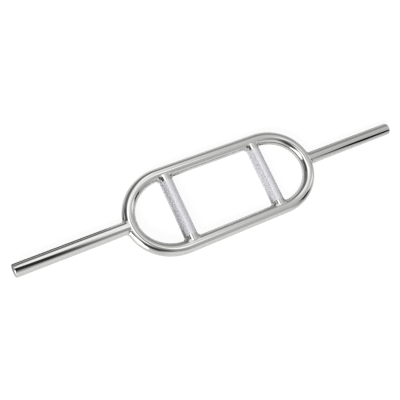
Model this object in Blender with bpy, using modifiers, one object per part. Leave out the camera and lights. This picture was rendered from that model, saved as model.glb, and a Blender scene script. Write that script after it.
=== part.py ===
"""Triceps bar: a closed racetrack loop of round bar, two hand grips across it and two end bars.

The bar lies flat with its long axis on X, its hand grips along Y and +Z up. The origin is the centre of
the loop. Near means -Y, far means +Y. Every size is in metres.
"""

import math

import bmesh
import bpy

# Overall sizes
OVERALL_LENGTH = 0.864
LOOP_LENGTH = 0.432
LOOP_WIDTH = 0.178
RAIL_STRAIGHT = 0.230
GRIP_SPACING = 0.204

# Bar stock
LOOP_BAR_DIAMETER = 0.0254
END_BAR_DIAMETER = 0.0254
GRIP_DIAMETER = 0.0272
END_CHAMFER = 0.0015

# How far a notched bar end stops short of the centre line of the bar it sits on
SEAT_DEPTH = 0.006

# Welds: a bead's radius, how far its middle lies off the bar, and how far it may stand over the bar's top
BUTT_WELD_WIDTH = 0.004
BEAD_OFFSET = 0.0012
END_BEAD_RADIUS = 0.0032
END_BEAD_CROWN = 0.0002
GRIP_BEAD_RADIUS = 0.0034
GRIP_BEAD_CROWN = -0.0002

# Clearance between touching pieces
GAP = 0.0003

# Fineness of the round shapes
BAR_SIDES = 32
ARC_STEPS = 32
BEAD_SIDES = 12
BEAD_STEPS = 48
BEAD_EASE = 8
SMOOTH_ANGLE = math.radians(35)
MERGE_DISTANCE = 0.00001
HALVINGS = 40

LOOP_RADIUS = LOOP_BAR_DIAMETER / 2
END_RADIUS = END_BAR_DIAMETER / 2
GRIP_RADIUS = GRIP_DIAMETER / 2
HALF_STRAIGHT = RAIL_STRAIGHT / 2
RAIL_Y = LOOP_WIDTH / 2 - LOOP_RADIUS
LOOP_END_X = LOOP_LENGTH / 2 - LOOP_RADIUS
END_REACH = LOOP_END_X - HALF_STRAIGHT
FLAT_TURN = math.pi / BAR_SIDES

# Greatest height of a bead's middle, which then lies on the loop in front of the bar's notched end
BEAD_HEIGHT = math.sqrt(LOOP_RADIUS ** 2 - (SEAT_DEPTH - BEAD_OFFSET) ** 2)

# Finish: colours, and roughness of the polished bars, the weld beads and the knurled grips
CHROME = (0.60, 0.60, 0.61)
KNURLED_CHROME = (0.66, 0.66, 0.69)
POLISHED = 0.06
WELDED = 0.12
KNURLED = 0.35

PARTS = "triceps_bar"
CUTTERS = "cutters"


def clear_scene():
    """Start from an empty scene."""
    for item in list(bpy.data.objects):
        bpy.data.objects.remove(item, do_unlink=True)


def add_collection(name):
    """A new collection in the scene."""
    group = bpy.data.collections.new(name)
    bpy.context.scene.collection.children.link(group)
    return group


def steel(name, colour, roughness):
    """Plated steel."""
    material = bpy.data.materials.new(name)
    material.use_nodes = True
    shader = material.node_tree.nodes["Principled BSDF"]
    shader.inputs["Base Color"].default_value = (*colour, 1.0)
    shader.inputs["Roughness"].default_value = roughness
    shader.inputs["Metallic"].default_value = 1.0
    return material


def add_part(item, parts, material):
    """Put a finished sub-part in the object's collection with its own material."""
    parts.objects.link(item)
    item.data.materials.clear()
    item.data.materials.append(material)


def add_cutter(item, cutters):
    """Put a cutter in its collection, where it only shapes other pieces."""
    cutters.objects.link(item)
    item.hide_render = True
    item.display_type = "WIRE"


def evaluated_mesh(item, collection):
    """The object's shape with its bevel or modifiers worked out, as a new mesh."""
    collection.objects.link(item)
    scene_state = bpy.context.evaluated_depsgraph_get()
    mesh = bpy.data.meshes.new_from_object(item.evaluated_get(scene_state))
    collection.objects.unlink(item)
    return mesh


def soften(mesh):
    """Smooth round sides with crisp rims."""
    mesh.shade_smooth()
    mesh.set_sharp_from_angle(angle=SMOOTH_ANGLE)


def merge_close_points(mesh, split_faces):
    """Make one point of those that all but coincide, and drop the slivers between them."""
    shape = bmesh.new()
    shape.from_mesh(mesh)
    bmesh.ops.remove_doubles(shape, verts=shape.verts, dist=MERGE_DISTANCE)
    bmesh.ops.dissolve_degenerate(shape, edges=shape.edges, dist=MERGE_DISTANCE)
    if split_faces:
        bmesh.ops.triangulate(shape, faces=shape.faces)
    shape.to_mesh(mesh)
    shape.free()


def cut(item, cutters, collection):
    """Take the cutters' shapes out of the piece."""
    for cutter in cutters:
        step = item.modifiers.new("cut_" + cutter.name, "BOOLEAN")
        step.operation = "DIFFERENCE"
        step.solver = "EXACT"
        step.object = cutter
    mesh = evaluated_mesh(item, collection)
    item.modifiers.clear()
    item.data = mesh
    merge_close_points(mesh, split_faces=False)
    soften(mesh)


def end_arc_point(angle, outward):
    """A point of the right end's half ellipse, moved outward in the loop's plane."""
    across = RAIL_Y * math.cos(angle)
    along = END_REACH * math.sin(angle)
    size = math.hypot(across, along)
    x = HALF_STRAIGHT + END_REACH * math.cos(angle) + outward * across / size
    y = RAIL_Y * math.sin(angle) + outward * along / size
    return x, y


def arc_angle(coordinate, value, outward, low, high):
    """The angle between low and high where that coordinate of the moved arc has the value."""
    rising = end_arc_point(high, outward)[coordinate] > end_arc_point(low, outward)[coordinate]
    for _ in range(HALVINGS):
        middle = (low + high) / 2
        if (end_arc_point(middle, outward)[coordinate] < value) == rising:
            low = middle
        else:
            high = middle
    return (low + high) / 2


def end_arc():
    """The right end's half ellipse, from the near rail round to the far rail."""
    angles = [math.pi * (step / ARC_STEPS - 0.5) for step in range(ARC_STEPS + 1)]
    return [(*end_arc_point(angle, 0.0), 0.0) for angle in angles]


def half_loop_path():
    """Centre line of the right half, from the middle of the near rail to the middle of the far rail."""
    start = BUTT_WELD_WIDTH / 2 + GAP
    return [(start, -RAIL_Y, 0.0)] + end_arc() + [(start, RAIL_Y, 0.0)]


def whole_loop_path():
    """Centre line of the whole loop."""
    right = end_arc()
    return right + mirrored(right, -1, -1)


def rail_line(x):
    """How far the loop's centre line lies from the long axis at this x."""
    beyond = max(abs(x) - HALF_STRAIGHT, 0.0) / END_REACH
    return RAIL_Y * math.sqrt(1.0 - beyond * beyond)


def mirrored(points, side_x, side_y):
    """The same points on another side or corner of the loop."""
    return [(side_x * x, side_y * y, z) for x, y, z in points]


def sweep(name, points, radius, sides, closed=False, swell=None):
    """A round bar along the points, as a mesh. Swell scales its radius point by point.

    A closed ring cuts or is cut, so its faces are split into triangles, which are flat.
    """
    curve = bpy.data.curves.new(name, "CURVE")
    curve.dimensions = "3D"
    curve.bevel_depth = radius
    curve.bevel_resolution = sides // 2 - 2
    curve.use_fill_caps = not closed
    spline = curve.splines.new("POLY")
    spline.points.add(len(points) - 1)
    spline.use_cyclic_u = closed
    for index, point in enumerate(points):
        spline.points[index].co = (*point, 1.0)
        if swell is not None:
            spline.points[index].radius = swell[index]
    guide = bpy.data.objects.new(name, curve)
    mesh = evaluated_mesh(guide, bpy.context.scene.collection)
    merge_close_points(mesh, split_faces=closed)
    world = guide.matrix_world.copy()
    bpy.data.objects.remove(guide, do_unlink=True)
    item = bpy.data.objects.new(name, mesh)
    item.matrix_world = world
    soften(mesh)
    return item


def turned_bar(name, profile):
    """A bar turned about Z from a profile of (radius, height), listed top to bottom."""
    mesh = bpy.data.meshes.new(name)
    points = [(radius, 0.0, height) for radius, height in profile]
    edges = [(index, index + 1) for index in range(len(points) - 1)]
    mesh.from_pydata(points, edges, [])
    item = bpy.data.objects.new(name, mesh)
    turn = item.modifiers.new("turn", "SCREW")
    turn.steps = BAR_SIDES
    turn.render_steps = BAR_SIDES
    turn.use_merge_vertices = True
    turn.merge_threshold = MERGE_DISTANCE
    return item


def end_bar(side, name, extra):
    """A solid end bar along X, from its notched end at the loop to its chamfered free end."""
    start = LOOP_END_X + SEAT_DEPTH - extra
    length = OVERALL_LENGTH / 2 - start
    radius = END_RADIUS + extra
    profile = [
        (0.0, length),
        (radius - END_CHAMFER, length),
        (radius, length - END_CHAMFER),
        (radius, 0.0),
        (0.0, 0.0),
    ]
    item = turned_bar(name, profile)
    item.location = (side * start, 0.0, 0.0)
    item.rotation_euler = (0.0, side * math.pi / 2, 0.0)
    return item


def grip_bar(x, name, extra):
    """A round hand grip along Y, between its notched ends at the two rails, with a flat side down."""
    half = rail_line(x) - SEAT_DEPTH + extra
    radius = GRIP_RADIUS + extra
    profile = [(0.0, half), (radius, half), (radius, -half), (0.0, -half)]
    item = turned_bar(name, profile)
    item.location = (x, 0.0, 0.0)
    item.rotation_euler = (math.pi / 2, FLAT_TURN, 0.0)
    return item


def butt_weld(y, name):
    """A flush disc of weld metal in the middle of a rail."""
    half = BUTT_WELD_WIDTH / 2
    profile = [(0.0, half), (LOOP_RADIUS, half), (LOOP_RADIUS, -half), (0.0, -half)]
    item = turned_bar(name, profile)
    item.location = (0.0, y, 0.0)
    item.rotation_euler = (0.0, math.pi / 2, 0.0)
    return item


def bead_height(bar_radius, turn):
    """Height of a bead's middle at this turn round the bar, eased below its greatest height."""
    height = (bar_radius + BEAD_OFFSET) * math.sin(turn)
    return height / (1 + abs(height / BEAD_HEIGHT) ** BEAD_EASE) ** (1 / BEAD_EASE)


def bead_radius(full, crown, bar_radius, height):
    """The bead's radius at this height of its middle, less where it would stand too high."""
    return min(full, max(bar_radius, LOOP_RADIUS) + crown - abs(height))


def end_weld_line():
    """The line on the loop round the right end bar's foot, with the bead's radius at each point."""
    points = []
    radii = []
    for step in range(BEAD_STEPS):
        turn = 2 * math.pi * step / BEAD_STEPS
        y = (END_RADIUS + BEAD_OFFSET) * math.cos(turn)
        z = bead_height(END_RADIUS, turn)
        outward = math.sqrt(LOOP_RADIUS ** 2 - z ** 2)
        angle = arc_angle(1, y, outward, -math.pi / 2, math.pi / 2)
        points.append((end_arc_point(angle, outward)[0], y, z))
        radii.append(bead_radius(END_BEAD_RADIUS, END_BEAD_CROWN, END_RADIUS, z))
    return points, radii


def grip_weld_line():
    """The line on the far rail round the right grip's foot, with the bead's radius at each point."""
    points = []
    radii = []
    for step in range(BEAD_STEPS):
        turn = 2 * math.pi * step / BEAD_STEPS
        x = GRIP_SPACING / 2 + (GRIP_RADIUS + BEAD_OFFSET) * math.cos(turn)
        z = bead_height(GRIP_RADIUS, turn)
        inward = math.sqrt(LOOP_RADIUS ** 2 - z ** 2)
        y = RAIL_Y - inward
        if x > HALF_STRAIGHT:
            angle = arc_angle(0, x, -inward, 0.0, math.pi / 2)
            y = end_arc_point(angle, -inward)[1]
        points.append((x, y, z))
        radii.append(bead_radius(GRIP_BEAD_RADIUS, GRIP_BEAD_CROWN, GRIP_RADIUS, z))
    return points, radii


def bead(name, points, radii):
    """A closed tube along a weld line."""
    widest = max(radii)
    swell = [radius / widest for radius in radii]
    return sweep(name, points, widest, BEAD_SIDES, closed=True, swell=swell)


def add_loop(parts):
    """Two bent halves, joined by a flush weld in the middle of each rail."""
    for side, word in ((-1, "left"), (1, "right")):
        half = sweep("loop_" + word, mirrored(half_loop_path(), side, 1), LOOP_RADIUS, BAR_SIDES)
        add_part(half, parts, steel("loop_" + word + "_chrome", CHROME, POLISHED))
    for side, word in ((-1, "near"), (1, "far")):
        weld = butt_weld(side * RAIL_Y, "butt_weld_" + word)
        cut(weld, [], parts)
        add_part(weld, parts, steel("butt_weld_" + word + "_chrome", CHROME, POLISHED))


def add_end(side, word, loop_cutter, parts, cutters):
    """One end bar, notched to fit the loop, with its weld bead all round."""
    bar = end_bar(side, "end_bar_" + word, 0.0)
    cut(bar, [loop_cutter], parts)
    add_part(bar, parts, steel("end_bar_" + word + "_chrome", CHROME, POLISHED))
    bar_cutter = end_bar(side, "end_cutter_" + word, GAP)
    add_cutter(bar_cutter, cutters)
    points, radii = end_weld_line()
    weld = bead("end_weld_" + word, mirrored(points, side, 1), radii)
    cut(weld, [bar_cutter, loop_cutter], parts)
    add_part(weld, parts, steel("end_weld_" + word + "_chrome", CHROME, WELDED))


def add_grip(side, word, loop_cutter, parts, cutters):
    """One hand grip, notched to fit both rails, with a weld bead round each end."""
    grip = grip_bar(side * GRIP_SPACING / 2, "grip_" + word, 0.0)
    cut(grip, [loop_cutter], parts)
    add_part(grip, parts, steel("grip_" + word + "_knurled", KNURLED_CHROME, KNURLED))
    grip_cutter = grip_bar(side * GRIP_SPACING / 2, "grip_cutter_" + word, GAP)
    add_cutter(grip_cutter, cutters)
    points, radii = grip_weld_line()
    for side_y, word_y in ((-1, "near"), (1, "far")):
        name = "grip_weld_" + word + "_" + word_y
        weld = bead(name, mirrored(points, side, side_y), radii)
        cut(weld, [grip_cutter, loop_cutter], parts)
        add_part(weld, parts, steel(name + "_chrome", CHROME, WELDED))


def build():
    """Make the bar."""
    clear_scene()
    parts = add_collection(PARTS)
    cutters = add_collection(CUTTERS)
    loop_cutter = sweep("loop_cutter", whole_loop_path(), LOOP_RADIUS + GAP, BAR_SIDES, closed=True)
    add_cutter(loop_cutter, cutters)
    add_loop(parts)
    for side, word in ((-1, "left"), (1, "right")):
        add_end(side, word, loop_cutter, parts, cutters)
        add_grip(side, word, loop_cutter, parts, cutters)


build()
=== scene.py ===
"""Looks of the triceps bar: chrome-plated bars, rippled weld beads and knurled grips on a white studio floor.

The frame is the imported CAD's: long axis on X, grips along Y, +Z up, and the loop's centre at the origin.
Near means -Y and far means +Y. Every size is in metres.

Each piece is a grid of points whose rows follow the piece and whose columns run round it. A surface map on it
holds two distances: along the piece, and round it.
"""

import math

import bpy
import numpy as np
from mathutils import Matrix, Vector


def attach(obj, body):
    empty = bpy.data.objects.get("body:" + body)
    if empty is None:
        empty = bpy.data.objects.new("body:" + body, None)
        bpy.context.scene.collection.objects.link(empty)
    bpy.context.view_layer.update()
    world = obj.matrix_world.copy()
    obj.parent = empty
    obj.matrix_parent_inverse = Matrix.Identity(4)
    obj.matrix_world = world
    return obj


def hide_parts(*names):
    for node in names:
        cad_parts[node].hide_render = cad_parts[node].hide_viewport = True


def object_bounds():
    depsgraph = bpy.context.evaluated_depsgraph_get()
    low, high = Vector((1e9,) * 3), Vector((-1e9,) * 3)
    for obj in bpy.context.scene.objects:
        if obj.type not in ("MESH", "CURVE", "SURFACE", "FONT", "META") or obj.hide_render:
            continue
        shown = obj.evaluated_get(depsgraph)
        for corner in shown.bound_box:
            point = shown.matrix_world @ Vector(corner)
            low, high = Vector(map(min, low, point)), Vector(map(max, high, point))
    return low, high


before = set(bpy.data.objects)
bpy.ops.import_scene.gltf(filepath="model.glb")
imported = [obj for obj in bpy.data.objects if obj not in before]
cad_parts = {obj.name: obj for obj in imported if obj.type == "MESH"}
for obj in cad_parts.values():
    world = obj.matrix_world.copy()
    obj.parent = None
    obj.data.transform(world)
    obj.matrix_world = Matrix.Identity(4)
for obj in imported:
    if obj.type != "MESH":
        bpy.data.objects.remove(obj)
cad_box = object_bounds()

# Sizes of the real bar, as in the CAD. The loop's centre line is two rails at RAIL_Y, straight as far as
# HALF_STRAIGHT, and a half ellipse at each end that reaches END_REACH further. The foot of a grip or end bar
# is cut to the loop's face, and comes no nearer to the loop's centre line than SEAT_DEPTH.
HALF_LENGTH = 0.432
LOOP_RADIUS = 0.0127
END_RADIUS = 0.0127
GRIP_RADIUS = 0.0136
GRIP_X = 0.102
RAIL_Y = 0.0763
HALF_STRAIGHT = 0.115
END_REACH = 0.0883
END_CHAMFER = 0.0015
CHAMFER_ANGLE = math.radians(45)
SEAT_DEPTH = 0.006
BUTT_WELD_WIDTH = 0.004

# Welds. A weld has a leg on each of the two skins that it joins, and its edges lie SKIN_LIFT clear of them.
# Its edge on the loop may come WELD_SINK nearer to the loop's centre line than the foot, and a higher
# CREST_EASE brings it closer to that limit. The section's length is the distance round it in the surface map.
WELD_LEG = 0.0042
WELD_SECTION_LENGTH = 4 * WELD_LEG
WELD_SINK = 0.0012
SKIN_LIFT = 0.00002
CREST_EASE = 8

# A swell is how full a weld's face is: 0 is hollow, 0.5 flat, and more is round. A ripple's bend is how far
# its middle runs ahead of its ends, in radians.
END_WELD_SWELL = 0.25
GRIP_WELD_SWELL = 0.62
RIPPLE_PITCH = 0.0026
RIPPLE_HEIGHT = 0.00012
RIPPLE_BEND = 1.5

# Knurl: diamonds cut by two crossing sets of spirals, with plain bar left at both ends. KNURL_WORN is the
# share of their height that is worn off the tips, and the plain ends lie PLAIN_DEPTH below the tips.
KNURL_TIP_RADIUS = 0.01353
KNURL_DEPTH = 0.00011
KNURL_STARTS = 60
KNURL_ANGLE = math.radians(30)
KNURL_PITCH = 2 * math.pi * GRIP_RADIUS / KNURL_STARTS
KNURL_WORN = 0.2
PLAIN_END = 0.006
PLAIN_DEPTH = 0.00006

# Fineness of the skins: rows and columns of each stretch, steps of the arc that a grip's foot is read off,
# samples over one pitch of the knurl, and rows in which the knurl runs out into the plain end. An end bar's
# flat face has rings from the outer to the inner share of its radius.
BAR_COLUMNS = 128
ARC_ROWS = 144
ARC_STEPS = 400
RAIL_ROWS = 24
BUTT_WELD_ROWS = 9
WELD_ROWS = 288
WELD_FACE_COLUMNS = 17
WELD_BACK_COLUMNS = 3
RIM_ROWS = 6
FACE_ROWS = 12
FACE_OUTER_RING = 0.95
FACE_INNER_RING = 0.05
KNURL_SAMPLES = 4
RUN_OUT_ROWS = 2
PLAIN_ROWS = 8

# The end bars' edges are rounded over this length, and edges sharper than the crease stay sharp
RIM_ROUNDING = 0.00025
CREASE = math.radians(50)

# Camera, at the photograph's viewing angle
CAMERA_PLACE = (-0.600, -0.2363, 1.2334)
CAMERA_AIM = (-0.0531, 0.0002, 0.0)
CAMERA_ROLL = math.radians(43.44)
CAMERA_LENS = 63.0
CAMERA_SENSOR = 36.0

# Colours of the plating, and the share of red, green and blue that a handled patch keeps
CHROME = (0.60, 0.60, 0.592)
WELD_CHROME = (0.60, 0.60, 0.585)
# The knurl's chrome is painted lighter than the plain chrome, as painted light on the grips, and darker in
# its grooves than on its tips, as painted shade in the hollows
KNURL_TIP_PAINTED_LIGHT_CHROME = (0.78, 0.78, 0.81)
KNURL_GROOVE_PAINTED_LIGHT_AND_SHADE_CHROME = (0.70, 0.70, 0.73)
HANDLED_SHARE = (0.97, 0.97, 0.955)

# Polished plates by slot: colour, roughness, what the polishing marks add to it, and depth of the slow waves
PLATES = {
    "loop_chrome": (CHROME, 0.035, 0.03, 0.0001),
    "end_bar_chrome": (CHROME, 0.035, 0.04, 0.00006),
    "weld_chrome": (WELD_CHROME, 0.09, 0.05, 0.0002),
}

# Polishing marks and handled patches. The stretch draws a mark out round the bar, by its share of the
# distance there. A patch starts at the first of two noise levels and is full at the second, and it adds the
# dulling's share to the roughness.
MARK_SIZE = 0.0012
MARK_STRETCH = (1.0, 0.06, 1.0)
MARK_DETAIL = 3.0
PATCH_SIZE = 0.03
PATCH_DETAIL = 2.0
PATCH_LEVELS = (0.42, 0.72)
PATCH_DULLING = 0.5

# Slow waves of the plating, and the finer orange peel with its share of their height
WAVE_SIZE = 0.06
PEEL_SIZE = 0.006
PEEL_SHARE = 0.05

# The grips: roughness of the knurl and of the plain ends, what the marks add to each, and the marks' relief
GROOVE_ROUGHNESS = 0.47
TIP_ROUGHNESS = 0.39
KNURL_MARKS = 0.08
PLAIN_ROUGHNESS = 0.06
PLAIN_MARKS = 0.06
GRIP_MARK_SIZE = 0.0008
GRIP_MARK_STRENGTH = 0.4
GRIP_MARK_DEPTH = 0.00003

UP = np.array([0.0, 0.0, 1.0])


def end_fans(points, along, around):
    """Two fans of triangles that close a grid's ends: their middle points, corners and surface map."""
    rows, columns, _ = points.shape
    middles = np.stack([points[0].mean(axis=0), points[-1].mean(axis=0)])
    start = rows * columns
    base = start - columns
    here = np.arange(columns)
    there = (here + 1) % columns
    first_fan = np.stack([np.full(columns, start), there, here], axis=-1)
    last_fan = np.stack([np.full(columns, start + 1), base + here, base + there], axis=-1)
    first_around = np.stack([around[1:], around[1:], around[:-1]], axis=-1)
    last_around = np.stack([around[:-1], around[:-1], around[1:]], axis=-1)
    first_map = np.stack([np.full(first_around.shape, along[0]), first_around], axis=-1)
    last_map = np.stack([np.full(last_around.shape, along[-1]), last_around], axis=-1)
    return middles, np.concatenate([first_fan, last_fan]), np.concatenate([first_map, last_map])


def skin(name, points, along, around, ring=False):
    """A closed skin over a grid of points.

    Rows lie one after another along the piece and columns run round it, the last column meeting the first.
    A ring's last row meets its first; otherwise a fan of triangles to the middle of each end row closes it.
    Along and around are the distances in metres that become the surface map, each with one value more than
    the grid has where it meets itself. The faces are turned outward, by the sign of the volume they enclose.
    """
    rows, columns, _ = points.shape
    last = rows if ring else rows - 1
    row, column = np.meshgrid(np.arange(last), np.arange(columns), indexing="ij")
    next_row = (row + 1) % rows
    next_column = (column + 1) % columns
    quads = np.stack([
        row * columns + column,
        row * columns + next_column,
        next_row * columns + next_column,
        next_row * columns + column,
    ], axis=-1).reshape(-1, 4)
    quad_map = np.stack([
        np.stack([along[row], around[column]], axis=-1),
        np.stack([along[row], around[column + 1]], axis=-1),
        np.stack([along[row + 1], around[column + 1]], axis=-1),
        np.stack([along[row + 1], around[column]], axis=-1),
    ], axis=-2).reshape(-1, 4, 2)
    vertices = points.reshape(-1, 3)
    fans = np.zeros((0, 3), int)
    fan_map = np.zeros((0, 3, 2))
    if not ring:
        middles, fans, fan_map = end_fans(points, along, around)
        vertices = np.concatenate([vertices, middles])
    corner = vertices[quads]
    volume = np.einsum("ij,ij->", corner[:, 0], np.cross(corner[:, 1], corner[:, 2]))
    volume += np.einsum("ij,ij->", corner[:, 0], np.cross(corner[:, 2], corner[:, 3]))
    if volume < 0:
        quads, quad_map = quads[:, ::-1], quad_map[:, ::-1]
        fans, fan_map = fans[:, ::-1], fan_map[:, ::-1]
    mesh = bpy.data.meshes.new(name)
    mesh.from_pydata(vertices.tolist(), [], quads.tolist() + fans.tolist())
    surface_map = mesh.uv_layers.new(name="surface")
    corners = np.concatenate([quad_map.reshape(-1, 2), fan_map.reshape(-1, 2)])
    surface_map.data.foreach_set("uv", corners.astype(np.float32).ravel())
    mesh.shade_smooth()
    mesh.set_sharp_from_angle(angle=CREASE)
    mesh.update()
    piece = bpy.data.objects.new(name, mesh)
    bpy.context.scene.collection.objects.link(piece)
    return piece


def turns(columns):
    """Equal turns round a bar, from nought up to but not including a full turn."""
    return np.arange(columns) * (2 * math.pi / columns)


def around_map(columns, radius):
    """Distance round the bar at each column, with the full turn at the end."""
    return np.arange(columns + 1) * (2 * math.pi * radius / columns)


def path_length(points):
    """Distance travelled along a line of points."""
    steps = np.linalg.norm(np.diff(points, axis=0), axis=1)
    return np.concatenate([[0.0], np.cumsum(steps)])


def end_arc(angle, outward):
    """Points of the right end's half ellipse, moved outward in the loop's plane.

    The ellipse is (half straight + reach cos a, rail y sin a), and its outward normal is
    (rail y cos a, reach sin a) made one long.
    """
    across = RAIL_Y * np.cos(angle)
    along = END_REACH * np.sin(angle)
    size = np.hypot(across, along)
    x = HALF_STRAIGHT + END_REACH * np.cos(angle) + outward * across / size
    y = RAIL_Y * np.sin(angle) + outward * along / size
    return x, y


def half_loop_line():
    """Centre line and outward normals of the right half: near rail, half ellipse, far rail."""
    angle = np.linspace(-math.pi / 2, math.pi / 2, ARC_ROWS + 1)
    arc_x, arc_y = end_arc(angle, 0.0)
    far_x, far_y = end_arc(angle, 1.0)
    straight_x = np.linspace(BUTT_WELD_WIDTH / 2, HALF_STRAIGHT, RAIL_ROWS, endpoint=False)
    flat = np.zeros(RAIL_ROWS)
    x = np.concatenate([straight_x, arc_x, straight_x[::-1]])
    y = np.concatenate([flat - RAIL_Y, arc_y, flat + RAIL_Y])
    normal_x = np.concatenate([flat, far_x - arc_x, flat])
    normal_y = np.concatenate([flat - 1.0, far_y - arc_y, flat + 1.0])
    centre = np.stack([x, y, np.zeros_like(x)], axis=-1)
    normal = np.stack([normal_x, normal_y, np.zeros_like(x)], axis=-1)
    return centre, normal


def loop_half(name, side):
    """One bent half of the loop: a circle carried along the half's centre line."""
    centre, normal = half_loop_line()
    turn = turns(BAR_COLUMNS)[None, :, None]
    offset = np.cos(turn) * normal[:, None, :] + np.sin(turn) * UP
    points = centre[:, None, :] + LOOP_RADIUS * offset
    points[..., 0] *= side
    return skin(name, points, path_length(centre), around_map(BAR_COLUMNS, LOOP_RADIUS))


def butt_weld(name, y):
    """A flush band of weld metal in the middle of a rail: a short cylinder on X."""
    along = np.linspace(-BUTT_WELD_WIDTH / 2, BUTT_WELD_WIDTH / 2, BUTT_WELD_ROWS)
    turn = turns(BAR_COLUMNS)
    x = np.repeat(along[:, None], BAR_COLUMNS, axis=1)
    ring_y = y + LOOP_RADIUS * np.cos(turn)
    ring_z = LOOP_RADIUS * np.sin(turn)
    points = np.stack([x, np.broadcast_to(ring_y, x.shape), np.broadcast_to(ring_z, x.shape)], axis=-1)
    return skin(name, points, along, around_map(BAR_COLUMNS, LOOP_RADIUS))


def beside_tip_x(y, outward):
    """X of the right end's half ellipse moved outward, near its tip, at this distance from the long axis.

    The half ellipse is as round there as a circle of (rail y squared over end reach), so X is the circle's
    middle plus the square root of ((circle plus outward) squared less y squared).
    """
    circle = RAIL_Y ** 2 / END_REACH
    return HALF_STRAIGHT + END_REACH - circle + np.sqrt((circle + outward) ** 2 - y ** 2)


def loop_face_x(y, z):
    """X of the foot that an end bar has on the loop's outer face, at this y and height.

    The face is the loop's centre line moved outward by the square root of (loop radius squared less height
    squared), and the foot comes no nearer to that line than the seat depth.
    """
    outward = np.sqrt(np.clip(LOOP_RADIUS ** 2 - z ** 2, 0.0, None))
    return np.maximum(beside_tip_x(y, outward), HALF_STRAIGHT + END_REACH + SEAT_DEPTH)


def end_bar(name, side):
    """A turned end bar: a circle carried on X from the loop's face to a chamfered end.

    The chamfer is a straight cone between two small roundings, then the flat end face runs in to the middle.
    A rounding is an arc that turns through the chamfer's angle, and starts the rounding's length before the
    corner that it takes off.
    """
    turn = turns(BAR_COLUMNS)
    foot = loop_face_x(END_RADIUS * np.cos(turn), END_RADIUS * np.sin(turn))
    share = np.linspace(0.0, 1.0, RAIL_ROWS)[:, None]
    shoulder = HALF_LENGTH - END_CHAMFER - RIM_ROUNDING
    body_x = foot + share * (shoulder - foot)
    body_radius = np.full(body_x.shape, END_RADIUS)
    lean = np.linspace(0.0, 1.0, RIM_ROWS) * CHAMFER_ANGLE
    arc_radius = RIM_ROUNDING / math.tan(CHAMFER_ANGLE / 2)
    outer_x = shoulder + arc_radius * np.sin(lean)
    outer_radius = END_RADIUS - arc_radius * (1 - np.cos(lean))
    flat_radius = END_RADIUS - END_CHAMFER - RIM_ROUNDING
    inner_x = HALF_LENGTH - arc_radius * (1 - np.sin(CHAMFER_ANGLE + lean))
    inner_radius = flat_radius + arc_radius * np.cos(CHAMFER_ANGLE + lean)
    face_radius = flat_radius * np.linspace(FACE_OUTER_RING, FACE_INNER_RING, FACE_ROWS)
    face_x = np.full(face_radius.shape, HALF_LENGTH)
    rim_x = np.concatenate([outer_x[1:], inner_x, face_x])[:, None]
    rim_radius = np.concatenate([outer_radius[1:], inner_radius, face_radius])[:, None]
    x = np.concatenate([body_x, np.repeat(rim_x, BAR_COLUMNS, axis=1)])
    radius = np.concatenate([body_radius, np.repeat(rim_radius, BAR_COLUMNS, axis=1)])
    points = np.stack([side * x, radius * np.cos(turn), radius * np.sin(turn)], axis=-1)
    line = np.stack([x[:, 0], radius[:, 0]], axis=-1)
    return skin(name, points, path_length(line), around_map(BAR_COLUMNS, END_RADIUS))


def eased_height(radius, turn):
    """Height at this turn round a bar, eased so that the weld's edge stays under the loop's crest.

    It is the height over the ease'th root of (1 plus the ease'th power of height over crest).
    """
    crest = math.sqrt(LOOP_RADIUS ** 2 - (SEAT_DEPTH - WELD_SINK) ** 2)
    height = radius * np.sin(turn)
    return height / (1 + np.abs(height / crest) ** CREST_EASE) ** (1 / CREST_EASE)


def weld(name, bar_line, corner_line, loop_line, core_line, swell):
    """A weld round a bar's foot: its section carried round the seam.

    The section leaves the bar's skin, bows towards the corner between the two skins, meets the loop's skin
    and comes back through the metal. The bow is the quadratic curve (1-t)^2 bar + 2t(1-t) bend + t^2 loop,
    and its bend is the corner moved out by the weld's swell. The way back is such a curve too, with the core
    as its bend. Ripples push the bow out and in by a sine of the distance round the seam, delayed towards the
    weld's two edges so that each ripple is a crescent.
    """
    t = np.linspace(0.0, 1.0, WELD_FACE_COLUMNS)[None, :, None]
    middle = (bar_line + loop_line) / 2
    bend = corner_line + (middle - corner_line) * (2 * swell)
    bow = (1 - t) ** 2 * bar_line[:, None] + 2 * t * (1 - t) * bend[:, None] + t ** 2 * loop_line[:, None]
    outward = middle - core_line
    outward /= np.linalg.norm(outward, axis=1)[:, None]
    along = path_length(np.concatenate([corner_line, corner_line[:1]]))
    ripples = round(along[-1] / RIPPLE_PITCH)
    edge = np.sin(math.pi * t)
    phase = 2 * math.pi * ripples * along[:-1, None, None] / along[-1] + RIPPLE_BEND * edge
    bow = bow + RIPPLE_HEIGHT * np.sin(phase) * edge * outward[:, None, :]
    t = np.linspace(0.0, 1.0, WELD_BACK_COLUMNS + 2)[None, 1:-1, None]
    core = core_line[:, None]
    back = (1 - t) ** 2 * loop_line[:, None] + 2 * t * (1 - t) * core + t ** 2 * bar_line[:, None]
    points = np.concatenate([bow, back], axis=1)
    around = np.linspace(0.0, WELD_SECTION_LENGTH, points.shape[1] + 1)
    return skin(name, points, along, around, ring=True)


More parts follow.
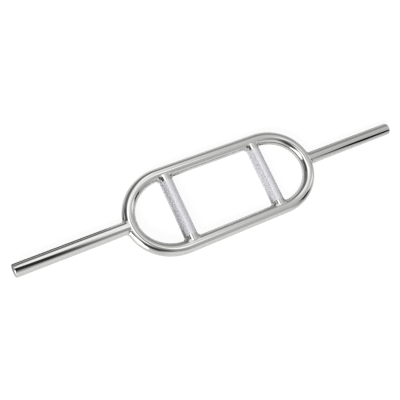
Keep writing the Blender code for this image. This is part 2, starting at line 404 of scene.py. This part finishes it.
def end_weld(name, side):
    """The weld round an end bar's foot, between the bar's skin and the loop's outer face.

    END_WELD_SWELL is its swell on the bar's two flanks. The swell falls to nothing at the top and underside,
    by the size of the turn's cosine.
    """
    turn = turns(WELD_ROWS)
    flank = np.abs(np.cos(turn))[:, None]

    def on_bar(radius, beyond):
        """Points round the bar at this radius, beyond the foot of the bar's own skin."""
        x = loop_face_x(END_RADIUS * np.cos(turn), END_RADIUS * np.sin(turn)) + beyond
        return np.stack([side * x, radius * np.cos(turn), radius * np.sin(turn)], axis=-1)

    edge_radius = END_RADIUS + WELD_LEG
    y = edge_radius * np.cos(turn)
    z = eased_height(edge_radius, turn)
    x = beside_tip_x(y, np.sqrt(LOOP_RADIUS ** 2 - z ** 2) + SKIN_LIFT)
    loop_line = np.stack([side * x, y, z], axis=-1)
    bar_line = on_bar(END_RADIUS + SKIN_LIFT, WELD_LEG)
    corner_line = on_bar(END_RADIUS + SKIN_LIFT, 0.0)
    core_line = on_bar(END_RADIUS - WELD_LEG, 0.0)
    return weld(name, bar_line, corner_line, loop_line, core_line, END_WELD_SWELL * flank)


def rail_inside_y(x, z):
    """Y of the far rail's inner face at this x and height.

    On the straight it is rail y less the square root of (loop radius squared less height squared). Past the
    straight the same inset is taken square to the half ellipse. It is stepped finely there from the tip back,
    and y is read off the straight line between the step before x and the step after it.
    """
    inward = np.sqrt(np.clip(LOOP_RADIUS ** 2 - z ** 2, 0.0, None))
    angle = np.linspace(0.0, math.pi / 2, ARC_STEPS)
    arc_x, arc_y = end_arc(angle[:, None], -inward[None, :])
    after = np.clip((arc_x > x).sum(axis=0), 1, ARC_STEPS - 1)
    column = np.arange(len(x))
    share = (x - arc_x[after, column]) / (arc_x[after - 1, column] - arc_x[after, column])
    curved = arc_y[after, column] + share * (arc_y[after - 1, column] - arc_y[after, column])
    return np.where(x > HALF_STRAIGHT, curved, RAIL_Y - inward)


def grip_weld(name, side_x, side_y):
    """The weld round one end of a grip, between its plain end and the rail's inner face."""
    turn = turns(WELD_ROWS)

    def on_grip(radius, before):
        """Points round the grip at this radius, before the foot of the grip's own skin."""
        x = KNURL_TIP_RADIUS * np.cos(turn)
        z = KNURL_TIP_RADIUS * np.sin(turn)
        y = np.minimum(rail_inside_y(GRIP_X + x, z), RAIL_Y - SEAT_DEPTH) - before
        points = [side_x * (GRIP_X + radius * np.cos(turn)), side_y * y, radius * np.sin(turn)]
        return np.stack(points, axis=-1)

    edge_radius = KNURL_TIP_RADIUS + WELD_LEG
    x = GRIP_X + edge_radius * np.cos(turn)
    z = eased_height(edge_radius, turn)
    y = rail_inside_y(x, z) - SKIN_LIFT
    loop_line = np.stack([side_x * x, side_y * y, z], axis=-1)
    plain_radius = KNURL_TIP_RADIUS - PLAIN_DEPTH
    grip_line = on_grip(plain_radius + SKIN_LIFT, WELD_LEG)
    corner_line = on_grip(plain_radius + SKIN_LIFT, 0.0)
    core_line = on_grip(plain_radius - WELD_LEG, 0.0)
    return weld(name, grip_line, corner_line, loop_line, core_line, GRIP_WELD_SWELL)


def knurl(along, round_way):
    """Height share of the knurl, 1 at the tips and 0 in the grooves.

    Two sets of spirals lean by the knurl angle, one each way. Each set is a triangle wave of (distance round
    the bar plus or minus distance along times the tangent of the angle), over the pitch. The lower of the two
    waves is the height, and its worn share is cut off flat at the top.
    """
    slant = along * math.tan(KNURL_ANGLE)
    first = np.abs(2 * np.mod((round_way + slant) / KNURL_PITCH, 1.0) - 1.0)
    second = np.abs(2 * np.mod((round_way - slant) / KNURL_PITCH, 1.0) - 1.0)
    return np.minimum(np.minimum(first, second) / (1.0 - KNURL_WORN), 1.0)


def grip(name, side):
    """A knurled grip: a circle carried on Y between the rails' inner faces, its radius cut by the knurl.

    Its points keep two values for the material: the knurl's height share, and 1 on the plain ends. Both are
    1 at the two middle points that close the ends.
    """
    columns = KNURL_STARTS * KNURL_SAMPLES
    turn = turns(columns)
    row_step = KNURL_PITCH / math.tan(KNURL_ANGLE) / KNURL_SAMPLES
    steps = int((RAIL_Y - LOOP_RADIUS - PLAIN_END) / row_step)
    knurled_y = np.arange(-steps, steps + 1)[:, None] * row_step
    foot = rail_inside_y(GRIP_X + KNURL_TIP_RADIUS * np.cos(turn), KNURL_TIP_RADIUS * np.sin(turn))
    foot = np.minimum(foot, RAIL_Y - SEAT_DEPTH)
    edge = (steps + RUN_OUT_ROWS) * row_step
    plain_y = edge + np.linspace(0.0, 1.0, PLAIN_ROWS)[:, None] * (foot - edge)
    y = np.concatenate([-plain_y[::-1], np.repeat(knurled_y, columns, axis=1), plain_y])
    knurled_share = knurl(knurled_y, turn * GRIP_RADIUS)
    plain_share = np.full(plain_y.shape, 1.0 - PLAIN_DEPTH / KNURL_DEPTH)
    share = np.concatenate([plain_share, knurled_share, plain_share])
    bare = np.concatenate([np.ones(plain_y.shape), np.zeros(knurled_share.shape), np.ones(plain_y.shape)])
    radius = KNURL_TIP_RADIUS - KNURL_DEPTH * (1.0 - share)
    points = np.stack([side * GRIP_X + radius * np.cos(turn), y, radius * np.sin(turn)], axis=-1)
    piece = skin(name, points, y[:, 0] + RAIL_Y, around_map(columns, GRIP_RADIUS))
    for label, values in (("knurl_height", share), ("plain_end", bare)):
        layer = piece.data.attributes.new(label, "FLOAT", "POINT")
        layer.data.foreach_set("value", np.concatenate([values.ravel(), [1.0, 1.0]]).astype(np.float32))
    return piece


def put(tree, kind, settings, sockets):
    """A node with its settings made and its inputs set, or linked where a socket is given."""
    node = tree.nodes.new(kind)
    for label, value in settings.items():
        setattr(node, label, value)
    for label, value in sockets.items():
        if isinstance(value, bpy.types.NodeSocket):
            tree.links.new(value, node.inputs[label])
        else:
            node.inputs[label].default_value = value
    return node


def maths(tree, operation, first, second=0.0, third=0.0):
    """The result of one Math node."""
    node = put(tree, "ShaderNodeMath", {"operation": operation}, {0: first, 1: second, 2: third})
    return node.outputs[0]


def new_group(name, inputs, outputs):
    """An empty shader node group with its named inputs and outputs."""
    group = bpy.data.node_groups.new(name, "ShaderNodeTree")
    for label, kind in inputs:
        group.interface.new_socket(label, in_out="INPUT", socket_type=kind)
    for label, kind in outputs:
        group.interface.new_socket(label, in_out="OUTPUT", socket_type=kind)
    start = group.nodes.new("NodeGroupInput")
    end = group.nodes.new("NodeGroupOutput")
    return group, start.outputs, end.inputs


def polish_marks_group():
    """Fine marks that the polishing belt leaves round the bar, and duller patches from handling."""
    group, given, made = new_group(
        "polish_marks",
        [
            ("Surface", "NodeSocketVector"),
            ("Mark Size", "NodeSocketFloat"),
            ("Patch Size", "NodeSocketFloat"),
        ],
        [("Marks", "NodeSocketFloat"), ("Patches", "NodeSocketFloat")],
    )
    stretched = put(group, "ShaderNodeVectorMath", {"operation": "MULTIPLY"}, {
        0: given["Surface"], 1: MARK_STRETCH}).outputs[0]
    fine = put(group, "ShaderNodeTexNoise", {}, {
        "Vector": stretched,
        "Scale": maths(group, "DIVIDE", 1.0, given["Mark Size"]),
        "Detail": MARK_DETAIL,
    })
    wide = put(group, "ShaderNodeTexNoise", {}, {
        "Vector": given["Surface"],
        "Scale": maths(group, "DIVIDE", 1.0, given["Patch Size"]),
        "Detail": PATCH_DETAIL,
    })
    patches = put(group, "ShaderNodeMapRange", {"interpolation_type": "SMOOTHSTEP"}, {
        "Value": wide.outputs[0], "From Min": PATCH_LEVELS[0], "From Max": PATCH_LEVELS[1]})
    group.links.new(fine.outputs[0], made["Marks"])
    group.links.new(patches.outputs[0], made["Patches"])
    return group


def plating_waves_group():
    """Slow waves in the plating and a little orange peel, as one height."""
    group, given, made = new_group(
        "plating_waves",
        [
            ("Place", "NodeSocketVector"),
            ("Wave Size", "NodeSocketFloat"),
            ("Peel Size", "NodeSocketFloat"),
        ],
        [("Height", "NodeSocketFloat")],
    )

    def smooth_noise(size):
        """Noise of this size with no finer detail in it."""
        scale = maths(group, "DIVIDE", 1.0, given[size])
        noise = put(group, "ShaderNodeTexNoise", {}, {
            "Vector": given["Place"], "Scale": scale, "Detail": 0.0})
        return noise.outputs[0]

    height = maths(group, "MULTIPLY_ADD", smooth_noise("Peel Size"), PEEL_SHARE, smooth_noise("Wave Size"))
    group.links.new(height, made["Height"])
    return group


def metal(name):
    """A metal material, its node tree, its shader and the piece's surface map."""
    material = bpy.data.materials.new(name)
    material.use_nodes = True
    tree = material.node_tree
    shader = tree.nodes["Principled BSDF"]
    shader.inputs["Metallic"].default_value = 1.0
    surface = put(tree, "ShaderNodeUVMap", {"uv_map": "surface"}, {}).outputs[0]
    return material, tree, shader, surface


def chrome(name, colour, roughness, marks, wave_depth, groups):
    """Chrome plate: nearly mirror-like, a little duller where handled, with faint marks and slow waves."""
    material, tree, shader, surface = metal(name)
    place = put(tree, "ShaderNodeTexCoord", {}, {}).outputs["Object"]
    polish = put(tree, "ShaderNodeGroup", {"node_tree": groups["polish_marks"]}, {
        "Surface": surface, "Mark Size": MARK_SIZE, "Patch Size": PATCH_SIZE}).outputs
    waves = put(tree, "ShaderNodeGroup", {"node_tree": groups["plating_waves"]}, {
        "Place": place, "Wave Size": WAVE_SIZE, "Peel Size": PEEL_SIZE}).outputs
    duller = maths(tree, "MULTIPLY_ADD", polish["Patches"], PATCH_DULLING * roughness, roughness)
    rough = maths(tree, "MULTIPLY_ADD", polish["Marks"], marks, duller)
    tree.links.new(rough, shader.inputs["Roughness"])
    handled = [value * share for value, share in zip(colour, HANDLED_SHARE)]
    tint = put(tree, "ShaderNodeMix", {"data_type": "RGBA"}, {
        "Factor": polish["Patches"], "A": (*colour, 1.0), "B": (*handled, 1.0)})
    tree.links.new(tint.outputs[2], shader.inputs["Base Color"])
    bump = put(tree, "ShaderNodeBump", {}, {
        "Height": waves["Height"], "Strength": 1.0, "Distance": wave_depth})
    tree.links.new(bump.outputs[0], shader.inputs["Normal"])
    return material


def knurled(name, groups):
    """Satin chrome over the knurl, its tips rubbed smoother than its grooves, and plain ends. The knurl's
    colour is painted light, lighter than the plain chrome, and painted shade, darker in the grooves than on
    the tips.
    """
    material, tree, shader, surface = metal(name)
    height = put(tree, "ShaderNodeAttribute", {"attribute_name": "knurl_height"}, {}).outputs["Fac"]
    plain = put(tree, "ShaderNodeAttribute", {"attribute_name": "plain_end"}, {}).outputs["Fac"]
    marks = put(tree, "ShaderNodeGroup", {"node_tree": groups["polish_marks"]}, {
        "Surface": surface, "Mark Size": GRIP_MARK_SIZE}).outputs["Marks"]
    rubbed = maths(tree, "MULTIPLY_ADD", height, TIP_ROUGHNESS - GROOVE_ROUGHNESS, GROOVE_ROUGHNESS)
    knurl_rough = maths(tree, "MULTIPLY_ADD", marks, KNURL_MARKS, rubbed)
    plain_rough = maths(tree, "MULTIPLY_ADD", marks, PLAIN_MARKS, PLAIN_ROUGHNESS)
    rough = put(tree, "ShaderNodeMix", {"data_type": "FLOAT"}, {
        "Factor": plain, "A": knurl_rough, "B": plain_rough}).outputs[0]
    tree.links.new(rough, shader.inputs["Roughness"])
    # Painted light and shade: the knurl's tips lighter and its grooves darker
    tint = put(tree, "ShaderNodeMix", {"data_type": "RGBA"}, {
        "Factor": height, "A": (*KNURL_GROOVE_PAINTED_LIGHT_AND_SHADE_CHROME, 1.0), "B": (*KNURL_TIP_PAINTED_LIGHT_CHROME, 1.0)})
    colour = put(tree, "ShaderNodeMix", {"data_type": "RGBA"}, {
        "Factor": plain, "A": tint.outputs[2], "B": (*CHROME, 1.0)})
    tree.links.new(colour.outputs[2], shader.inputs["Base Color"])
    bump = put(tree, "ShaderNodeBump", {}, {
        "Height": marks, "Strength": GRIP_MARK_STRENGTH, "Distance": GRIP_MARK_DEPTH})
    tree.links.new(bump.outputs[0], shader.inputs["Normal"])
    return material


def finish_piece(piece, node, slot, plates):
    """Give a piece its slot's plating, and let it ride on the body and stand for its CAD node."""
    piece.data.materials.append(plates[slot])
    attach(piece, "root")
    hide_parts(node)


def add_bars():
    """Every piece of the bar."""
    groups = {"polish_marks": polish_marks_group(), "plating_waves": plating_waves_group()}
    plates = {slot: chrome(slot + "_plate", *values, groups) for slot, values in PLATES.items()}
    plates["grip_knurled"] = knurled("grip_knurled_plate", groups)
    for side, word in ((-1, "left"), (1, "right")):
        half = loop_half("loop_" + word + "_bar", side)
        finish_piece(half, "loop_" + word, "loop_chrome", plates)
        bar = end_bar("end_bar_" + word + "_turned", side)
        finish_piece(bar, "end_bar_" + word, "end_bar_chrome", plates)
        seam = end_weld("end_weld_" + word + "_bead", side)
        finish_piece(seam, "end_weld_" + word, "weld_chrome", plates)
        handle = grip("grip_" + word + "_handle", side)
        finish_piece(handle, "grip_" + word, "grip_knurled", plates)
        for side_y, word_y in ((-1, "near"), (1, "far")):
            corner = word + "_" + word_y
            seam = grip_weld("grip_weld_" + corner + "_bead", side, side_y)
            finish_piece(seam, "grip_weld_" + corner, "weld_chrome", plates)
    for side_y, word_y in ((-1, "near"), (1, "far")):
        band = butt_weld("butt_weld_" + word_y + "_band", side_y * RAIL_Y)
        finish_piece(band, "butt_weld_" + word_y, "loop_chrome", plates)


# The room that the metal mirrors: cards, walls and dark gaps, each an even patch of it with soft edges. For
# each: azimuth and elevation of its middle and its turn, in degrees, half its width and height and the
# softness of its edges, as tangents, and its level, where 1 is white. A later one lies over an earlier one.
CARDS = (
    ("far_right_wall", 52, 16, 8, 0.50, 0.42, 0.30, 0.42),
    ("far_wall", 106, 19, 14, 0.74, 0.48, 0.30, 0.22),
    ("far_left_gap", 154, 30, 4, 0.38, 0.42, 0.20, 0.11),
    ("overhead_card", 107, 82, 23, 0.34, 0.45, 0.18, 1.95),
    ("overhead_card_end", 71, 59, 1, 0.18, 0.53, 0.29, 1.45),
    ("left_card", 201, 17, 13, 0.43, 0.45, 0.15, 2.5),
    ("camera_side_wall", 268, 52, 0, 0.42, 0.36, 0.30, 0.45),
    ("camera_side_gap", 239, 45, 0, 0.40, 0.34, 0.28, 0.08),
    ("zenith_shade", -62, 77, -28, 0.17, 0.47, 0.17, 0.45),
    ("zenith_gap", -100, 56, 0, 0.16, 0.24, 0.16, 0.10),
    ("right_card", 351, 29, 2, 0.10, 0.27, 0.18, 1.42),
    ("near_card", 277, 13, -34, 0.53, 0.36, 0.47, 1.07),
)
# Between the cards the room's level is this one plus the slope's shares of the direction's x, y and z
ROOM_LEVEL = 0.78
ROOM_SLOPE = (-0.27, 0.195, 0.19)
# Share of the room's level that lights rough surfaces, such as the floor
FILL_SHARE = 0.32
# A direction can meet a card when its share towards the card's middle is over CARD_FRONT. It is divided by
# that share, which is therefore kept over CARD_LEAST_DEPTH.
CARD_FRONT = 0.02
CARD_LEAST_DEPTH = 0.001

# Painted shadow: a dark patch painted on the floor beside an end bar, in place of the bar's shadow there,
# which only the metal sees and mirrors as painted shade. Middle x and y, half sizes along x and y, softness
# of the edges across x and y, all in metres, and its level, where 1 leaves the floor as it is.
FLOOR_PAINTED_SHADOWS = (
    ("left_bar_painted_shadow", -0.350, 0.050, 0.115, 0.053, 0.03, 0.054, 0.05),
    ("right_bar_painted_shadow", 0.345, 0.054, 0.110, 0.036, 0.03, 0.03, 0.65),
)
# A black sheet held near the bar, which only the metal sees: painted shade, in place of the shadowed floor
# that the bars mirror. The strip over the left bar makes the black band along that bar, and the near right
# sheet the dark line along the right bar. Place, the point that it faces, turn about the line between them in
# degrees, half width, half depth and the softness of each in metres, and level.
PAINTED_SHADE_SHEETS = (
    ("painted_shade_strip_over_left_bar", (-0.450, 0.009, 0.09), (-0.450, 0.009, 1.0), -21,
     (0.185, 0.036, 0.18, 0.012), 0.035),
    ("painted_shade_sheet_near_right", (0.780, -0.410, 0.37), (0.1, 0.0, 0.0), 0,
     (0.115, 0.195, 0.04, 0.04), 0.0),
)
# Side of the clear square sheet that a black patch of painted shade is drawn on
PAINTED_SHEET_SIZE = 0.6

# The floor lies FLOOR_GAP under the bar. The metal sees it as a white table, and the camera as white paper
# that glows and still takes the soft shadow.
FLOOR_GAP = 0.0001
FLOOR_HALF = 4.0
TABLE_WHITE = 0.80
TABLE_ROUGHNESS = 0.2
TABLE_GLOW = 0.04
PAPER_SHADE = 0.08
PAPER_GLOW = 0.945

# Key lamp
KEY_STRENGTH = 5.5
KEY_SOFTNESS = math.radians(25)
KEY_AZIMUTH = 215
KEY_ELEVATION = 30


def card_group():
    """How much a card covers of a direction: 1 inside it and 0 outside, with soft edges.

    The direction's side and up shares, over its share towards the card's middle, are compared with the
    card's half width and half height.
    """
    group, given, made = new_group(
        "studio_card",
        [
            ("Direction", "NodeSocketVector"),
            ("Middle", "NodeSocketVector"),
            ("Side", "NodeSocketVector"),
            ("Top", "NodeSocketVector"),
            ("Half Width", "NodeSocketFloat"),
            ("Half Height", "NodeSocketFloat"),
            ("Softness", "NodeSocketFloat"),
        ],
        [("Cover", "NodeSocketFloat")],
    )

    def share(way):
        """The direction's share of one way."""
        node = put(group, "ShaderNodeVectorMath", {"operation": "DOT_PRODUCT"}, {
            0: given["Direction"], 1: given[way]})
        return node.outputs["Value"]

    depth = share("Middle")
    safe_depth = maths(group, "MAXIMUM", depth, CARD_LEAST_DEPTH)
    soft = maths(group, "MULTIPLY", given["Softness"], 0.5)
    cover = maths(group, "GREATER_THAN", depth, CARD_FRONT)
    for way, half in (("Side", "Half Width"), ("Top", "Half Height")):
        reach = maths(group, "DIVIDE", maths(group, "ABSOLUTE", share(way)), safe_depth)
        edge = put(group, "ShaderNodeMapRange", {"interpolation_type": "SMOOTHSTEP"}, {
            "Value": reach,
            "From Min": maths(group, "SUBTRACT", given[half], soft),
            "From Max": maths(group, "ADD", given[half], soft),
            "To Min": 1.0,
            "To Max": 0.0,
        })
        cover = maths(group, "MULTIPLY", cover, edge.outputs[0])
    group.links.new(cover, made["Cover"])
    return group


def card_ways(azimuth, elevation, turn):
    """The unit directions of a card: towards its middle, along its side and up it."""
    round_way, up_way, roll = (math.radians(value) for value in (azimuth, elevation, turn))
    flat = math.cos(up_way)
    middle = Vector((flat * math.cos(round_way), flat * math.sin(round_way), math.sin(up_way)))
    level = Vector((-math.sin(round_way), math.cos(round_way), 0.0))
    upright = middle.cross(level)
    side = math.cos(roll) * level + math.sin(roll) * upright
    top = -math.sin(roll) * level + math.cos(roll) * upright
    return middle, side, top


def add_world():
    """A white studio. The camera sees plain white, and the metal and floor see the room with its cards."""
    world = bpy.data.worlds.new("studio")
    bpy.context.scene.world = world
    world.use_nodes = True
    tree = world.node_tree
    tree.nodes.clear()
    direction = put(tree, "ShaderNodeTexCoord", {}, {}).outputs["Generated"]
    slope = put(tree, "ShaderNodeVectorMath", {"operation": "DOT_PRODUCT"}, {0: direction, 1: ROOM_SLOPE})
    level = maths(tree, "ADD", slope.outputs["Value"], ROOM_LEVEL)
    group = card_group()
    for label, azimuth, elevation, turn, width, height, softness, card_level in CARDS:
        middle, side, top = card_ways(azimuth, elevation, turn)
        card = put(tree, "ShaderNodeGroup", {"node_tree": group, "name": label, "label": label}, {
            "Direction": direction,
            "Middle": middle,
            "Side": side,
            "Top": top,
            "Half Width": width,
            "Half Height": height,
            "Softness": softness,
        })
        mix = put(tree, "ShaderNodeMix", {"data_type": "FLOAT"}, {
            "Factor": card.outputs[0], "A": level, "B": card_level})
        level = mix.outputs[0]
    path = put(tree, "ShaderNodeLightPath", {}, {}).outputs
    dimmed = maths(tree, "MULTIPLY", level, FILL_SHARE)
    fill = put(tree, "ShaderNodeMix", {"data_type": "FLOAT"}, {
        "Factor": path["Is Diffuse Ray"], "A": level, "B": dimmed})
    strength = put(tree, "ShaderNodeMix", {"data_type": "FLOAT"}, {
        "Factor": path["Is Camera Ray"], "A": fill.outputs[0], "B": 1.0})
    back = put(tree, "ShaderNodeBackground", {}, {
        "Color": (1.0, 1.0, 1.0, 1.0), "Strength": strength.outputs[0]})
    out = tree.nodes.new("ShaderNodeOutputWorld")
    tree.links.new(back.outputs[0], out.inputs["Surface"])


def painted_shade_group():
    """How much a patch of painted shade covers of a place on its own flat sheet: 1 inside it and 0 outside,
    with soft edges.
    """
    group, given, made = new_group(
        "painted_shade_patch",
        [
            ("Place", "NodeSocketVector"),
            ("Middle", "NodeSocketVector"),
            ("Half Width", "NodeSocketFloat"),
            ("Half Depth", "NodeSocketFloat"),
            ("Soft Width", "NodeSocketFloat"),
            ("Soft Depth", "NodeSocketFloat"),
        ],
        [("Cover", "NodeSocketFloat")],
    )
    away = put(group, "ShaderNodeVectorMath", {"operation": "SUBTRACT"}, {
        0: given["Place"], 1: given["Middle"]})
    reach = put(group, "ShaderNodeVectorMath", {"operation": "ABSOLUTE"}, {0: away.outputs[0]})
    split = put(group, "ShaderNodeSeparateXYZ", {}, {0: reach.outputs[0]}).outputs
    cover = 1.0
    for axis, half, softness in (("X", "Half Width", "Soft Width"), ("Y", "Half Depth", "Soft Depth")):
        soft = maths(group, "MULTIPLY", given[softness], 0.5)
        edge = put(group, "ShaderNodeMapRange", {"interpolation_type": "SMOOTHSTEP"}, {
            "Value": split[axis],
            "From Min": maths(group, "SUBTRACT", given[half], soft),
            "From Max": maths(group, "ADD", given[half], soft),
            "To Min": 1.0,
            "To Max": 0.0,
        })
        cover = maths(group, "MULTIPLY", edge.outputs[0], cover)
    group.links.new(cover, made["Cover"])
    return group


def painted_shade_cover(tree, group, label, place, middle, sizes):
    """The cover of one patch of painted shade at a place. Sizes are its half width, half depth and the
    softness of each.
    """
    painted_shade = put(tree, "ShaderNodeGroup", {"node_tree": group, "name": label, "label": label}, {
        "Place": place,
        "Middle": middle,
        "Half Width": sizes[0],
        "Half Depth": sizes[1],
        "Soft Width": sizes[2],
        "Soft Depth": sizes[3],
    })
    return painted_shade.outputs[0]


def square_sheet(label, half, height, material):
    """A level square sheet at this height, for the stage. Half is half its side."""
    mesh = bpy.data.meshes.new(label)
    corners = [(-half, -half, height), (half, -half, height), (half, half, height), (-half, half, height)]
    mesh.from_pydata(corners, [], [(0, 1, 2, 3)])
    mesh.materials.append(material)
    sheet = bpy.data.objects.new(label, mesh)
    bpy.context.scene.collection.objects.link(sheet)
    return sheet


def aimed(place, aim, axis, turn):
    """The place of a thing whose axis points at the aim, turned about its own Z axis."""
    way = (Vector(aim) - Vector(place)).to_track_quat(axis, "Y")
    return Matrix.Translation(place) @ way.to_matrix().to_4x4() @ Matrix.Rotation(turn, 4, "Z")


def add_painted_shade_sheet(group, label, place, faces, turn, sizes, level):
    """A black patch of painted shade near the bar, on a sheet that is clear outside the patch's own shape."""
    material = bpy.data.materials.new(label)
    material.use_nodes = True
    tree = material.node_tree
    tree.nodes.remove(tree.nodes["Principled BSDF"])
    spot = put(tree, "ShaderNodeTexCoord", {}, {}).outputs["Object"]
    cover = painted_shade_cover(tree, group, label, spot, (0.0, 0.0, 0.0), sizes)
    clear = put(tree, "ShaderNodeBsdfTransparent", {}, {})
    black = put(tree, "ShaderNodeEmission", {}, {"Strength": level})
    mix = put(tree, "ShaderNodeMixShader", {}, {0: cover, 1: clear.outputs[0], 2: black.outputs[0]})
    tree.links.new(mix.outputs[0], tree.nodes["Material Output"].inputs["Surface"])
    painted_shade = square_sheet(label, PAINTED_SHEET_SIZE / 2, 0.0, material)
    painted_shade.matrix_world = aimed(place, faces, "Z", math.radians(turn))
    # Painted shade: only the metal sees this black patch, mirrored as a dark band along a bar
    painted_shade.visible_camera = False
    painted_shade.visible_diffuse = False
    painted_shade.visible_shadow = False


def add_floor(group):
    """A white floor just under the grips: a table with the painted shadows to the metal, and paper to the
    camera.
    """
    material = bpy.data.materials.new("white_floor")
    material.use_nodes = True
    tree = material.node_tree
    place = put(tree, "ShaderNodeTexCoord", {}, {}).outputs["Object"]
    shade = 1.0
    # Painted shadows: dark patches on the table that only the metal sees, in place of the bars' shadows
    for label, x, y, width, depth, soft_width, soft_depth, level in FLOOR_PAINTED_SHADOWS:
        sizes = (width, depth, soft_width, soft_depth)
        cover = painted_shade_cover(tree, group, label, place, (x, y, 0.0), sizes)
        kept = maths(tree, "MULTIPLY_ADD", cover, level - 1.0, 1.0)
        shade = maths(tree, "MULTIPLY", kept, shade)
    glow = put(tree, "ShaderNodeCombineColor", {}, {0: shade, 1: shade, 2: shade}).outputs[0]
    white = put(tree, "ShaderNodeMix", {"data_type": "RGBA", "blend_type": "MULTIPLY"}, {
        "Factor": 1.0, "A": (TABLE_WHITE, TABLE_WHITE, TABLE_WHITE, 1.0), "B": glow}).outputs[2]
    table = tree.nodes["Principled BSDF"]
    table.inputs["Roughness"].default_value = TABLE_ROUGHNESS
    table.inputs["Emission Strength"].default_value = TABLE_GLOW
    tree.links.new(white, table.inputs["Base Color"])
    tree.links.new(glow, table.inputs["Emission Color"])
    paper = put(tree, "ShaderNodeBsdfPrincipled", {}, {
        "Base Color": (PAPER_SHADE, PAPER_SHADE, PAPER_SHADE, 1.0),
        "Roughness": 1.0,
        "Specular IOR Level": 0.0,
        "Emission Color": (1.0, 1.0, 1.0, 1.0),
        "Emission Strength": PAPER_GLOW,
    })
    seen = put(tree, "ShaderNodeLightPath", {}, {}).outputs["Is Camera Ray"]
    mix = put(tree, "ShaderNodeMixShader", {}, {0: seen, 1: table.outputs[0], 2: paper.outputs[0]})
    tree.links.new(mix.outputs[0], tree.nodes["Material Output"].inputs["Surface"])
    floor = square_sheet("floor", FLOOR_HALF, cad_box[0][2] - FLOOR_GAP, material)


def add_key_lamp():
    """A soft key lamp from the near left. It lights the floor and isn't mirrored by the metal."""
    lamp = bpy.data.lights.new("key", "SUN")
    lamp.energy = KEY_STRENGTH
    lamp.angle = KEY_SOFTNESS
    holder = bpy.data.objects.new("key", lamp)
    bpy.context.scene.collection.objects.link(holder)
    middle, _, _ = card_ways(KEY_AZIMUTH, KEY_ELEVATION, 0.0)
    holder.rotation_euler = middle.to_track_quat("Z", "Y").to_euler()
    holder.visible_glossy = False


def add_camera():
    """A level camera aimed at the bar, then rolled."""
    camera = bpy.data.cameras.new("camera")
    camera.lens = CAMERA_LENS
    camera.sensor_width = CAMERA_SENSOR
    holder = bpy.data.objects.new("camera", camera)
    bpy.context.scene.collection.objects.link(holder)
    holder.matrix_world = aimed(CAMERA_PLACE, CAMERA_AIM, "-Z", CAMERA_ROLL)
    bpy.context.scene.camera = holder


add_camera()
add_bars()
add_world()
painted_shade_patches = painted_shade_group()
add_floor(painted_shade_patches)
for painted_shade_sheet in PAINTED_SHADE_SHEETS:
    add_painted_shade_sheet(painted_shade_patches, *painted_shade_sheet)
add_key_lamp()
bpy.context.scene.view_settings.view_transform = "Standard"
